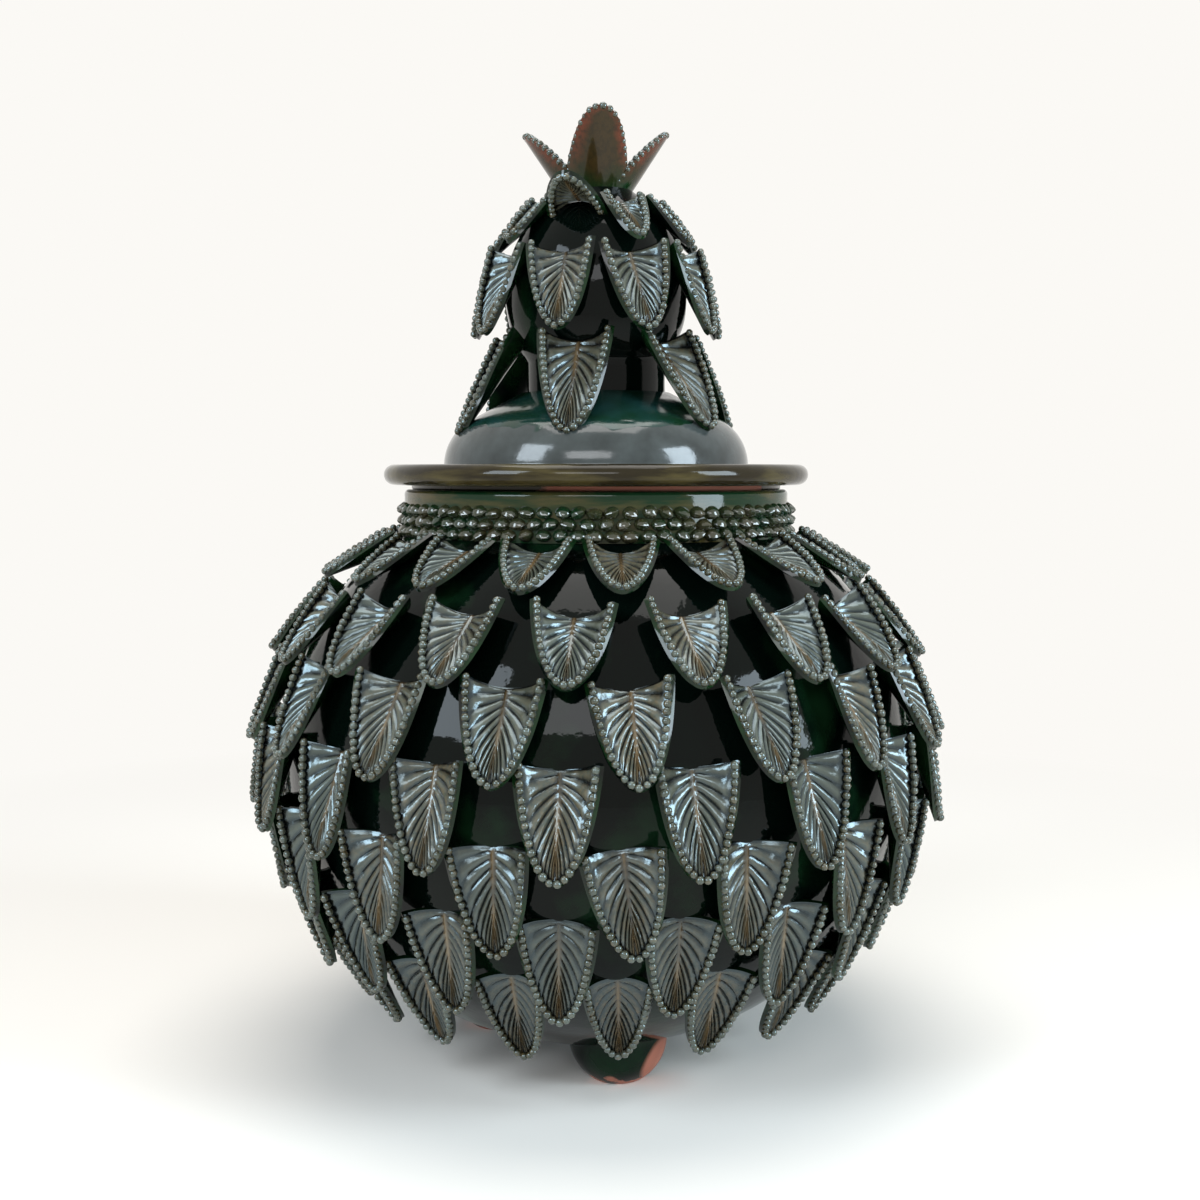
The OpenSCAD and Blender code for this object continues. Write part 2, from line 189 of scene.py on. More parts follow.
class GlazeColours(bpy.types.PropertyGroup):
    """Colours of the glazes and of the bare clay."""

    bottle: colour("Bottle green", "Deep glaze on the globe", (0.0008, 0.0026, 0.0018))
    moss: colour("Moss green", "Glaze where it runs thin", (0.0050, 0.0240, 0.0085))
    olive: colour("Olive", "Ridges of the leaf faces", (0.078, 0.084, 0.062))
    # Near black: glaze pooled in the grooves of the leaf faces, deepened as painted shade; it is
    # also the painted shade of the low rows and of the rims between the beads.
    furrow: colour("Furrow", "Furrows of the leaf faces", (0.002, 0.002, 0.002))
    tan: colour("Tan", "Clay that shows through on veins and midribs", (0.200, 0.130, 0.058))
    bead: colour("Bead", "Beads round the leaves", (0.040, 0.036, 0.016))
    back: colour("Leaf back", "Smooth backs of the leaves", (0.006, 0.026, 0.007))
    amber: colour("Amber", "Thin glaze at the edges of the crown's backs", (0.120, 0.028, 0.012))
    umber: colour("Umber", "Glaze in the middle of the crown's backs", (0.036, 0.022, 0.007))
    # Besides its streaks, this dark brown is painted as shade on the lid's step.
    bark: colour("Bark", "Dark streaks on the lip and the crown", (0.018, 0.013, 0.005))
    teal: colour("Teal", "Thick glaze on the lid's cone", (0.010, 0.040, 0.036))
    smoke: colour("Smoke", "Thin glaze on the lid's dome", (0.066, 0.078, 0.076))
    lip: colour("Lip", "Olive streaks on the lip and the collar", (0.070, 0.054, 0.018))
    sheen: colour("Sheen", "Cool lustre of the leaves and beads", (0.70, 0.91, 1.0))
    clay: colour("Bare clay", "Unglazed earthenware", (0.400, 0.150, 0.100))
    paper: colour("Backdrop", "Floor and backdrop", (0.965, 0.948, 0.914))
    floor: colour("Floor", "Floor under the jar, in the lamps' cool light", (0.970, 0.915, 0.845))


def sizes():
    """The jar's, the leaves', the lid's and the colours' settings."""
    scene = bpy.context.scene
    return scene.jar_sizes, scene.jar_leaves, scene.jar_lid, scene.jar_colours


def smooth_step(low, high, value):
    """Rises smoothly from 0 at low to 1 at high."""
    share = min(1.0, max(0.0, (value - low) / (high - low)))
    return share * share * (3 - 2 * share)


def arc_through(widest, end_r, rise):
    """Radius of an arc that leaves the widest point upright and ends at a radius and a height."""
    inward = widest - end_r
    return (inward ** 2 + rise ** 2) / (2 * inward)


class GlobeForm:
    """Profile arcs of the globe, worked out from the jar's sizes."""

    def __init__(self, jar):
        self.r = jar.globe_r
        self.z = jar.globe_z
        self.bore = jar.collar_r - jar.collar_t
        self.belly = arc_through(jar.globe_r, jar.base_r, jar.globe_z - jar.base_z)
        self.shoulder = arc_through(jar.globe_r, self.bore, jar.neck_z - jar.globe_z)
        self.collar_lat = math.acos((jar.collar_r - jar.globe_r + self.shoulder) / self.shoulder)

    def arc(self, lat):
        """Radius of the profile arc at an angle above or below the widest point."""
        return self.shoulder if lat >= 0 else self.belly

    def seat(self, lat):
        """Radius and height of the surface at an angle above or below the widest point."""
        arc = self.arc(lat)
        return self.r - arc + arc * math.cos(lat), self.z + arc * math.sin(lat)

    def lat_at(self, along):
        """Angle at a distance along the surface from the widest point."""
        return along / self.arc(along)


TURN_STEPS = 128
MERGE = 1e-6


class Profile:
    """A profile in the XZ plane that is drawn by extruding and spinning its last point."""

    def __init__(self, x, z):
        self.bm = bmesh.new()
        self.end = bmesh.ops.create_vert(self.bm, co=(x, 0, z))["vert"][0]

    def line(self, x, z):
        """Draws a straight stretch to a point."""
        grown = bmesh.ops.extrude_vert_indiv(self.bm, verts=[self.end])
        self.end = grown["verts"][0]
        self.end.co = (x, 0, z)
        return self

    def arc(self, x, z, degrees, steps):
        """Draws an arc about a centre, counter-clockwise with x to the right and z up."""
        swept = bmesh.ops.spin(
            self.bm, geom=[self.end], cent=(x, 0, z), axis=(0, -1, 0),
            angle=math.radians(degrees), steps=steps, use_duplicate=False,
        )
        self.end = next(g for g in swept["geom_last"] if isinstance(g, bmesh.types.BMVert))
        return self

    def close(self):
        """Draws a straight stretch back to the first point."""
        self.bm.verts.ensure_lookup_table()
        self.bm.edges.new((self.end, self.bm.verts[0]))
        return self

    def turn(self):
        """Turns the profile on the jar's axis and returns the closed body."""
        bm = self.bm
        bmesh.ops.spin(
            bm, geom=bm.verts[:] + bm.edges[:], cent=(0, 0, 0), axis=(0, 0, 1),
            angle=math.tau, steps=TURN_STEPS, use_merge=True, use_duplicate=False,
        )
        bmesh.ops.remove_doubles(bm, verts=bm.verts[:], dist=MERGE)
        bmesh.ops.recalc_face_normals(bm, faces=bm.faces[:])
        return bm


# Width of an edge that glaze has rounded, and the reach within which a seam keeps its shape.
SOFT_EDGE = 0.0006
SEAM_REACH = 0.030
SHARP_ANGLE = math.radians(38)


def soften_edges(bm):
    """Rounds the hard edges of a turned body, as glaze does."""
    hard = [e for e in bm.edges if e.is_manifold and e.calc_face_angle() > SHARP_ANGLE]
    bmesh.ops.bevel(
        bm, geom=hard, offset=SOFT_EDGE, offset_type="OFFSET", segments=2, profile=0.5,
        affect="EDGES", clamp_overlap=True, material=-1,
    )


def wobble(bm, amount, scale, seed, seam=None):
    """Moves a turned surface in and out a little, as hands do, but not at a seam's height."""
    bm.normal_update()
    shift = Vector((seed, 0, 0))
    moves = [(v, v.normal * noise.noise(v.co * scale + shift) * amount) for v in bm.verts]
    for v, move in moves:
        v.co += move if seam is None else move * smooth_step(0, SEAM_REACH, abs(v.co.z - seam))


def kept_mesh(bm, name):
    """The finished mesh of a modelled shape."""
    mesh = bpy.data.meshes.new(name)
    bm.to_mesh(mesh)
    bm.free()
    return mesh


def add_object(name, data):
    """Adds an object to the scene."""
    added = bpy.data.objects.new(name, data)
    bpy.context.scene.collection.objects.link(added)
    return added


def add_piece(bm, name, body, node, materials):
    """Makes a finished piece that rides on a body and stands for a node."""
    for edge in bm.edges:
        edge.smooth = not edge.is_manifold or edge.calc_face_angle() < SHARP_ANGLE
    for face in bm.faces:
        face.smooth = True
    piece = add_object(name, kept_mesh(bm, name))
    for material in materials:
        piece.data.materials.append(material)
    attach(piece, body)
    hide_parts(node)


# Powers that space the veins along the outline and along the midrib.
EDGE_RUN = 1.5
RIB_RUN = 1.2
# Powers of the outline's cosine and sine: below 1 fuller and above 1 slimmer than an ellipse.
ROUND_TIP = (1.06, 1.75)
POINTED_TIP = (0.95, 1.33)
BEAD_LIFT = 0.0004


class LeafForm:
    """Shape of one pressed leaf: a trough along +Y to its tip, open towards +Z."""

    def __init__(self, leaves, width, reach, trough, tip=ROUND_TIP, bead_lift=BEAD_LIFT):
        self.length = reach
        self.tip = tip
        self.bead_lift = bead_lift
        self.trough = trough
        self.back = trough + leaves.blade
        self.axis = self.back - leaves.seat
        self.spread = math.asin(width / 2 / self.back)

    def outline(self, along):
        """Shares of the leaf's spread and of its length where a vein meets the outline."""
        sweep = (1 - (1 - along) ** EDGE_RUN) * math.pi / 2
        return max(0.0, math.cos(sweep)) ** self.tip[0], math.sin(sweep) ** self.tip[1]

    def half(self, along):
        """Half width of the face where a vein ends."""
        return self.trough * self.spread * self.outline(along)[0]

    def point(self, across, along, inset, rho):
        """Point at shares across and along the leaf, inset from its outline, at a trough radius."""
        wide, deep = self.outline(along)
        edge = max(MERGE, (self.spread - inset / self.trough) * wide)
        angle = across * edge
        middle = along ** RIB_RUN
        reach = middle + (deep - middle) * math.sin(abs(angle)) / math.sin(edge)
        return Vector((
            rho * math.sin(angle),
            (self.length - inset) * reach,
            self.axis - rho * math.cos(angle),
        ))


FACE, BEADS, BACK = range(3)
# Points across the face, the power that crowds them to the midrib, and rows of points to a vein.
LEAF_COLUMNS = 16
COLUMN_RUN = 1.35
ROWS_PER_VEIN = 4
# Lean of a vein in vein widths, power that narrows the grooves, and reach of the midrib's slope.
VEIN_LEAN = 1.3
GROOVE = 4
RIB_SPREAD = 0.0010
# Shares across and along the leaf between which its veins rise and die away.
VEIN_INNER, VEIN_OUTER = (0.02, 0.16), (1.0, 0.84)
VEIN_TOP, VEIN_TIP = (0.02, 0.08), (0.97, 0.80)
LEAN_TOP, LEAN_TIP = (0, 0.12), (1, 0.8)
# Steps of the rim from the face outwards: share of its width left, and height above the face.
RIM_STEPS = (
    (0.85, -0.00035), (0.72, 0.00030), (0.45, 0.00085), (0.12, 0.00045), (0.0, -0.00055),
)
# Beads: place on the rim, faces, spread of their sizes and shapes, and how far they stray.
BEAD_INSET = 0.0006
BEAD_SIDES = 8
BEAD_RINGS = 6
BEAD_SIZES = (0.9, 1.1)
BEAD_STRETCH = (0.98, 1.1)
BEAD_SWAY = 0.00012
PATH_STEPS = 160


def press_leaf(leaves, form, seed):
    """One leaf with veins, midrib, beaded rim and smooth back, as a mesh marked for its finish."""
    rng = random.Random(seed)
    bm = bmesh.new()
    across, along, inset = (bm.verts.layers.float.new(n) for n in ("across", "along", "inset"))
    vein, rib, rim, back = (bm.verts.layers.float.new(n) for n in ("vein", "rib", "rim", "back"))
    rows = leaves.vein_count * ROWS_PER_VEIN
    bmesh.ops.create_grid(bm, x_segments=LEAF_COLUMNS, y_segments=rows, size=1)
    for v in bm.verts:
        row = (v.co.y + 1) / 2
        v[across] = math.copysign(abs(v.co.x) ** COLUMN_RUN, v.co.x)
        sway = smooth_step(*LEAN_TOP, row) * smooth_step(*LEAN_TIP, row)
        v[along] = row + VEIN_LEAN / leaves.vein_count * abs(v[across]) * sway
        v[inset] = leaves.rim
        press_face(leaves, form, v, row, (across, along, vein, rib))
    bmesh.ops.remove_doubles(bm, verts=bm.verts[:], dist=MERGE)

    edge = [e for e in bm.edges if e.is_boundary and max(v[along] for v in e.verts) > 0]
    for share, lift in RIM_STEPS:
        grown = bmesh.ops.extrude_edge_only(bm, edges=edge)["geom"]
        ring = {g for g in grown if isinstance(g, bmesh.types.BMVert)}
        edge = [g for g in grown if isinstance(g, bmesh.types.BMEdge) and ring.issuperset(g.verts)]
        for v in ring:
            v[inset] = leaves.rim * share
            v[vein] = v[rib] = 0
            # The raised steps of the rim are marked, and the leaf glaze paints them dark as shade
            # between the beads.
            v[rim] = 1 if lift > 0 else 0
            side = math.copysign(1, v[across])
            v.co = form.point(side, v[along], v[inset], form.trough - lift)

    grown = bmesh.ops.extrude_face_region(bm, geom=bm.faces[:])["geom"]
    for v in (g for g in grown if isinstance(g, bmesh.types.BMVert)):
        share = v[across] if v[inset] >= leaves.rim else math.copysign(1, v[across])
        v[vein] = v[rib] = v[rim] = 0
        v[back] = 1
        v.co = form.point(share, v[along], v[inset], form.back)
    bmesh.ops.recalc_face_normals(bm, faces=bm.faces[:])
    for face in bm.faces:
        face.material_index = BACK if any(v[back] for v in face.verts) else FACE
    set_beads(bm, leaves, form, rng)
    return kept_mesh(bm, "pressed_leaf")


def press_face(leaves, form, v, row, layers):
    """Sets a point of the face, raised by its vein and midrib. Rows run along the veins."""
    across, along, vein, rib = layers
    u, s = v[across], v[along]
    inside = smooth_step(*VEIN_INNER, abs(u)) * smooth_step(*VEIN_OUTER, abs(u))
    length_fade = smooth_step(*VEIN_TOP, s) * smooth_step(*VEIN_TIP, s)
    wave = 1 - abs(math.cos(math.pi * row * leaves.vein_count)) ** GROOVE
    v[vein] = wave * inside * length_fade
    v[rib] = math.exp(-(u * form.half(s) / RIB_SPREAD) ** 2) * length_fade
    lift = leaves.vein_h * v[vein] + leaves.rib_h * v[rib]
    v.co = form.point(u, s, leaves.rim, form.trough - lift)


def bead_path(form):
    """Points along the middle of the rim, from one upper corner round the tip to the other."""
    rho = form.trough - form.bead_lift
    shares = [i / PATH_STEPS for i in range(PATH_STEPS + 1)]
    left = [form.point(-1, s, BEAD_INSET, rho) for s in shares]
    right = [form.point(1, s, BEAD_INSET, rho) for s in reversed(shares)]
    return left + right[1:]


def walk(points, pitch, start):
    """Points and directions at even distances along a path."""
    travelled = -start
    found = []
    for a, b in zip(points, points[1:]):
        step = (b - a).length
        travelled += step
        if travelled >= 0 and step > 0:
            found.append((b.copy(), (b - a).normalized()))
            travelled -= pitch
    return found


def set_beads(bm, leaves, form, rng):
    """Sets the row of beads on the leaf's rim."""
    for place, heading in walk(bead_path(form), leaves.bead_pitch, leaves.bead_r):
        inward = Vector((-place.x, 0, form.axis - place.z)).normalized()
        side = heading.cross(inward).normalized()
        size = leaves.bead_r * rng.uniform(*BEAD_SIZES)
        basis = Matrix((side, heading * rng.uniform(*BEAD_STRETCH), inward)).transposed().to_4x4()
        sway = Vector([rng.uniform(-1, 1) for _ in range(3)]) * BEAD_SWAY
        made = bmesh.ops.create_uvsphere(
            bm, u_segments=BEAD_SIDES, v_segments=BEAD_RINGS, radius=size,
            matrix=Matrix.Translation(place + sway) @ basis,
        )
        for face in {f for v in made["verts"] for f in v.link_faces}:
            face.material_index = BEADS


LEAF_KINDS = 3
KIND_SEEDS = 10
# How unevenly the leaves are set: angles in degrees, and shares of their size.
LEANS = (-0.2, 2.8)
ROLL_SPREAD = 2.6
YAW_SPREAD = 2.2
GROWTHS = (-0.03, 0.01)


def leaf_place(r, z, rise, around):
    """Matrix that sets a leaf's upper edge at a radius and height, its face turned up by rise."""
    lean = Matrix.Rotation(math.pi / 2 - rise, 4, "X") @ Matrix.Rotation(math.pi, 4, "Z")
    return Matrix.Rotation(around, 4, "Z") @ Matrix.Translation((0, -r, z)) @ lean


def even_turns(count, start):
    """Angles of the leaves in a row, from the first leaf's in degrees."""
    return [math.radians(start) + k * math.tau / count for k in range(count)]


def hand_set(rng):
    """A small turn and change of size, as the hand that set the leaf left it."""
    lean = Matrix.Rotation(math.radians(rng.uniform(*LEANS)), 4, "X")
    roll = Matrix.Rotation(math.radians(rng.gauss(0, ROLL_SPREAD)), 4, "Y")
    yaw = Matrix.Rotation(math.radians(rng.gauss(0, YAW_SPREAD)), 4, "Z")
    return yaw @ roll @ lean @ Matrix.Scale(1 + rng.uniform(*GROWTHS), 4)


def lay_leaves(bm, leaves, form, places, seed):
    """Lays leaves at their places, each a little different."""
    rng = random.Random(seed)
    kind_count = min(LEAF_KINDS, len(places))
    kinds = [press_leaf(leaves, form, seed * KIND_SEEDS + i) for i in range(kind_count)]
    if "tone" not in bm.verts.layers.float:
        bm.verts.layers.float.new("tone")
    for k, place in enumerate(places):
        first = len(bm.verts)
        bm.from_mesh(kinds[k % LEAF_KINDS])
        bm.verts.ensure_lookup_table()
        added = bm.verts[first:]
        tone = bm.verts.layers.float["tone"]
        shade = rng.random()
        for v in added:
            v[tone] = shade
        bmesh.ops.transform(bm, matrix=place @ hand_set(rng), verts=added)
    for mesh in kinds:
        bpy.data.meshes.remove(mesh)


class Nodes:
    """Adds nodes to an emptied tree and links them."""

    def __init__(self, owner):
        owner.use_nodes = True
        self.tree = owner.node_tree
        self.tree.nodes.clear()

    def add(self, kind, inputs=None, **settings):
        """Adds a node, with values or links on its inputs."""
        node = self.tree.nodes.new(kind)
        for key, value in settings.items():
            setattr(node, key, value)
        for key, value in (inputs or {}).items():
            self.feed(node.inputs[key], value)
        return node

    def feed(self, socket, value):
        """Links a socket to another, or sets its value."""
        if isinstance(value, bpy.types.NodeSocket):
            self.tree.links.new(value, socket)
        else:
            socket.default_value = value

    def combine(self, kind, first, second):
        """Two values added, multiplied or compared."""
        return self.add("ShaderNodeMath", {0: first, 1: second}, operation=kind).outputs[0]

    def seen(self):
        """1 where the camera, a reflection or a clear piece shows the surface."""
        path = self.add("ShaderNodeLightPath").outputs
        shown = self.combine("MAXIMUM", path["Is Camera Ray"], path["Is Glossy Ray"])
        return self.combine("MAXIMUM", shown, path["Is Transmission Ray"])


class FinishNodes(Nodes):
    """Nodes of one finish."""

    def __init__(self, name):
        self.material = bpy.data.materials.new(name)
        super().__init__(self.material)
        self.place = self.add("ShaderNodeTexCoord").outputs["Object"]
        self.shader = self.add("ShaderNodeBsdfPrincipled")
        self.out = self.add("ShaderNodeOutputMaterial", {"Surface": self.shader.outputs["BSDF"]})

    def cloud(self, scale, detail=3.0, rough=0.5, flat=1.0):
        """Soft blotches, by their number to the metre, flattened to level streaks by flat."""
        place = self.place
        if flat != 1:
            stretch = self.add("ShaderNodeMapping", {"Vector": place, "Scale": (1, 1, flat)})
            place = stretch.outputs["Vector"]
        return self.add(
            "ShaderNodeTexNoise",
            {"Vector": place, "Scale": scale, "Detail": detail, "Roughness": rough},
        ).outputs["Fac"]

    def away(self, point):
        """Distance from a point."""
        inputs = {0: self.place, 1: point}
        return self.add("ShaderNodeVectorMath", inputs, operation="DISTANCE").outputs["Value"]

    def mark(self, name):
        """A mark that the mesh carries at each point."""
        return self.add("ShaderNodeAttribute", attribute_name=name).outputs["Fac"]

    def spread(self, value, low, high, to_low=0.0, to_high=1.0):
        """Maps a range of values onto another, and clamps it."""
        inputs = {
            "Value": value, "From Min": low, "From Max": high, "To Min": to_low, "To Max": to_high,
        }
        return self.add("ShaderNodeMapRange", inputs, clamp=True).outputs["Result"]

    def blend(self, share, first, second):
        """A mix of two colours."""
        inputs = {0: share, 6: first, 7: second}
        return self.add("ShaderNodeMix", inputs, data_type="RGBA").outputs[2]

    def height(self):
        """Height above the floor."""
        return self.add("ShaderNodeSeparateXYZ", {"Vector": self.place}).outputs["Z"]

    def dent(self, height, strength, distance):
        """Fine relief in the finish."""
        inputs = {"Height": height, "Strength": strength, "Distance": distance}
        bump = self.add("ShaderNodeBump", inputs)
        self.feed(self.shader.inputs["Normal"], bump.outputs["Normal"])

    def done(self, skin, rough, specular, sheen=(1.0, 1.0, 1.0, 1.0)):
        """Feeds the shader its colour, roughness and reflection, and returns the material."""
        names = ("Base Color", "Roughness", "Specular IOR Level", "Specular Tint")
        for name, value in zip(names, (skin, rough, specular, sheen)):
            self.feed(self.shader.inputs[name], value)
        return self.material


def bottle_glaze(colours):
    """Deep, very glossy glaze of the globe, greener where it runs thin."""
    finish = FinishNodes("bottle_glaze")
    pools = finish.spread(finish.cloud(26, 4), 0.54, 0.76)
    specks = finish.cloud(420, 2)
    finish.dent(finish.cloud(150, 3), 0.12, 0.001)
    skin = finish.blend(pools, colours.bottle, colours.moss)
    rough = finish.spread(specks, 0.3, 0.8, 0.03, 0.07)
    return finish.done(skin, rough, specular=0.14)


def leaf_lustre(colours):
    """Lustrous glaze of the leaf faces: tan on the ridges, dark in the grooves from pooled glaze
    and painted shade, with painted shade on the low rows and on the rims between the beads.
    """
    finish = FinishNodes("leaf_lustre")
    vein, rib, rim, tone = (finish.mark(n) for n in ("vein", "rib", "rim", "tone"))
    broad = finish.cloud(60, 3)
    fine = finish.cloud(500, 3, 0.6)
    # Painted shade: below 0.14 m the ridges fade towards the dark groove colour, to 0.4 at 0.05 m,
    # so the low rows are darker.
    low_row_shade = finish.spread(finish.height(), 0.05, 0.14, 0.4, 1.0)
    pale = finish.combine("MULTIPLY", finish.spread(vein, 0.15, 0.95), low_row_shade)
    face = finish.blend(pale, colours.furrow, colours.olive)
    rubbed = finish.spread(tone, 0.2, 1.0, 0.0, 0.5)
    worn = finish.combine("MULTIPLY", finish.spread(fine, 0.35, 0.65), rubbed)
    face = finish.blend(finish.combine("MULTIPLY", worn, vein), face, colours.tan)
    bare_rib = finish.combine("MULTIPLY", rib, finish.spread(broad, 0.3, 0.6, 0.15, 0.85))
    face = finish.blend(bare_rib, face, colours.tan)
    finish.dent(fine, 0.25, 0.0004)
    # Painted shade: the raised rim under the beads takes the dark groove colour, so it reads as
    # shade between the beads.
    skin = finish.blend(rim, face, colours.furrow)
    rough = finish.spread(fine, 0.3, 0.75, 0.14, 0.24)
    return finish.done(skin, rough, specular=0.9, sheen=colours.sheen)


def bead_lustre(colours):
    """Bright glaze of the beads, olive and brown by turns and tan where it is rubbed."""
    finish = FinishNodes("bead_lustre")
    broad = finish.cloud(60, 3)
    fine = finish.cloud(500, 3, 0.6)
    skin = finish.blend(finish.spread(broad, 0.4, 0.65), colours.bead, colours.olive)
    skin = finish.blend(finish.spread(fine, 0.52, 0.75, 0.0, 0.5), skin, colours.tan)
    finish.dent(fine, 0.15, 0.0003)
    rough = finish.spread(fine, 0.3, 0.75, 0.03, 0.10)
    return finish.done(skin, rough, specular=0.9, sheen=colours.sheen)


def leaf_back(colours):
    """Smooth glossy green of the leaves' backs, in runs of light and dark."""
    finish = FinishNodes("leaf_back")
    runs = finish.spread(finish.cloud(80, 3), 0.35, 0.7)
    fine = finish.cloud(450, 2)
    finish.dent(finish.cloud(220, 3), 0.12, 0.0006)
    skin = finish.blend(runs, colours.bottle, colours.back)
    rough = finish.spread(fine, 0.3, 0.8, 0.07, 0.16)
    return finish.done(skin, rough, specular=0.3)


def crown_back(colours):
    """Thin glaze of the crown's backs: olive brown in the middle and red towards the edges."""
    finish = FinishNodes("crown_back")
    across, along = finish.mark("across"), finish.mark("along")
    broad = finish.cloud(110, 4)
    fine = finish.cloud(450, 3)
    side = finish.combine("MULTIPLY", across, across)
    thin = finish.combine("ADD", side, finish.spread(broad, 0.3, 0.7, -0.40, 0.40))
    skin = finish.blend(finish.spread(thin, 0.50, 1.15), colours.umber, colours.amber)
    skin = finish.blend(finish.spread(fine, 0.45, 0.70, 0.0, 0.7), skin, colours.bark)
    low = finish.spread(along, 0.30, 0.0)
    green = finish.combine("ADD", low, finish.spread(broad, 0.5, 0.75, 0.0, 0.35))
    skin = finish.blend(finish.spread(green, 0.05, 1.0), skin, colours.back)
    finish.dent(finish.cloud(240, 3), 0.15, 0.0006)
    rough = finish.spread(fine, 0.3, 0.8, 0.08, 0.18)
    return finish.done(skin, rough, specular=0.3)


def leaf_glazes(colours):
    """The three finishes of a leaf, in the order of its face, beads and back."""
    return [shared(make, colours) for make in (leaf_lustre, bead_lustre, leaf_back)]


def pellet_lustre(colours):
    """Glossy olive and moss glaze of the pellets, in broad blotches."""
    finish = FinishNodes("pellet_lustre")
    broad = finish.spread(finish.cloud(90, 3), 0.35, 0.65)
    fine = finish.cloud(600, 2)
    skin = finish.blend(broad, colours.moss, colours.bead)
    finish.dent(fine, 0.2, 0.0004)
    rough = finish.spread(fine, 0.3, 0.7, 0.07, 0.16)
    return finish.done(skin, rough, specular=0.8)


RUN_FADE = 0.0003


def lid_glaze(colours, lid):
    """Glaze of the lid: thick and green on its cone down to a wavy edge, and thin below."""
    finish = FinishNodes("lid_glaze")
    blotches = finish.cloud(70, 4)
    fine = finish.cloud(450, 2)
    height = finish.height()
    waves = finish.spread(finish.cloud(42, 3), 0.3, 0.7, -0.0035, 0.0035)
    run_end = lid.lid_z - lid.run_drop
    wavy = finish.combine("ADD", height, waves)
    thick = finish.spread(wavy, run_end - RUN_FADE, run_end + RUN_FADE)
    thin = finish.blend(finish.spread(blotches, 0.3, 0.7, 0.4, 1.0), colours.bottle, colours.smoke)
    cone = finish.blend(finish.spread(blotches, 0.35, 0.7), colours.teal, colours.moss)
    finish.dent(finish.combine("ADD", thick, finish.cloud(160, 3)), 0.10, 0.001)
    skin = finish.blend(thick, thin, cone)
    rough = finish.spread(fine, 0.3, 0.8, 0.09, 0.18)
    return finish.done(skin, rough, specular=0.45)


def streaked_glaze(name, rest, streak):
    """Glossy glaze in level streaks of two colours."""
    finish = FinishNodes(name)
    streaks = finish.combine("MULTIPLY", finish.cloud(34, 4, 0.55, 7), finish.cloud(24, 2))
    fine = finish.cloud(450, 2)
    finish.dent(finish.cloud(140, 3), 0.12, 0.001)
    skin = finish.blend(finish.spread(streaks, 0.23, 0.40), rest, streak)
    rough = finish.spread(fine, 0.3, 0.8, 0.05, 0.12)
    return finish.done(skin, rough, specular=0.22)


def lip_glaze(colours):
    """Olive and dark brown glaze of the lid's lip."""
    return streaked_glaze("lip_glaze", colours.bark, colours.lip)


def collar_glaze(colours):
    """Green glaze of the collar's plain band, streaked with olive."""
    return streaked_glaze("collar_glaze", colours.moss, colours.lip)


def darker(tint, share):
    """A colour that keeps a share of its brightness."""
    return (*(c * share for c in tint[:3]), 1.0)


def bare_clay(colours):
    """Unglazed red earthenware, matt and speckled."""
    finish = FinishNodes("bare_clay")
    broad = finish.spread(finish.cloud(45, 4), 0.35, 0.7)
    grit = finish.cloud(900, 2)
    finish.dent(grit, 0.3, 0.0004)
    skin = finish.blend(broad, colours.clay, darker(colours.clay, 0.7))
    rough = finish.spread(grit, 0.3, 0.7, 0.6, 0.85)
    return finish.done(skin, rough, specular=0.3)


# The front right of the step, where light reaches its bare clay; round the rest of the step dark
# brown is painted as shade.
STEP_LIT_TOWARDS = Vector((0.36, -0.93, 0))
STEP_LIT_REACH = 0.046
STEP_LIT_FADE = 0.004


def step_clay(colours, jar):
    """Clay of the lid's step, bare and lit at the front right, with painted shade in dark brown
    round the rest of the step.
    """
    finish = FinishNodes("step_clay")
    shade_edge = finish.spread(finish.cloud(120, 3), 0.3, 0.7, -0.006, 0.006)
    middle = STEP_LIT_TOWARDS * jar.collar_r + Vector((0, 0, jar.rim_z))
    away = finish.combine("ADD", finish.away(middle), shade_edge)
    bare = finish.spread(away, STEP_LIT_REACH + STEP_LIT_FADE, STEP_LIT_REACH)
    finish.dent(finish.cloud(900, 2), 0.2, 0.0004)
    # Painted shade: dark brown everywhere but the lit front right, with a ragged edge; the bare
    # clay there is darkened to 0.6.
    skin = finish.blend(bare, colours.bark, darker(colours.clay, 0.6))
    rough = finish.spread(bare, 0.0, 1.0, 0.2, 0.7)
    return finish.done(skin, rough, specular=0.2)


WIPED_LOW, WIPED_HIGH = 0.0010, 0.0022
# Bare marks on the front foot: direction from its middle, reach and fade.
FOOT_MARKS = (
    ((0.85, -0.42, 0.45), 0.0085, 0.0025),
    ((-0.15, -0.75, 0.15), 0.0016, 0.0014),
)


def foot_glaze(colours, jar):
    """Glaze of the feet, wiped off where they stand and missing in a patch on the front foot."""
    finish = FinishNodes("foot_glaze")
    pools = finish.spread(finish.cloud(26, 4), 0.42, 0.68)
    ragged = finish.spread(finish.cloud(140, 4), 0.3, 0.7, -0.004, 0.004)
    bare = finish.spread(finish.combine("ADD", finish.height(), ragged), WIPED_HIGH, WIPED_LOW)
    front = Vector((math.sin(jar.foot_turn), -math.cos(jar.foot_turn), 0)) * jar.foot_ring_r
    for towards, reach, fade in FOOT_MARKS:
        away = finish.away(front + Vector(towards) * jar.foot_ball_r)
        bare = finish.combine("MAXIMUM", bare, finish.spread(away, reach + fade, reach))
    glaze = finish.blend(pools, colours.bottle, colours.moss)
    finish.dent(finish.cloud(150, 3), 0.12, 0.001)
    skin = finish.blend(bare, glaze, colours.clay)
    speckle = finish.spread(finish.cloud(900, 2), 0.3, 0.7, 0.0, 0.06)
    rough = finish.combine("ADD", finish.spread(bare, 0.0, 1.0, 0.06, 0.45), speckle)
    return finish.done(skin, rough, specular=0.15)


def shared(make, *args):
    """A finish that several pieces share, made once."""
    name = make.__name__
    return bpy.data.materials.get(name) or make(*args)


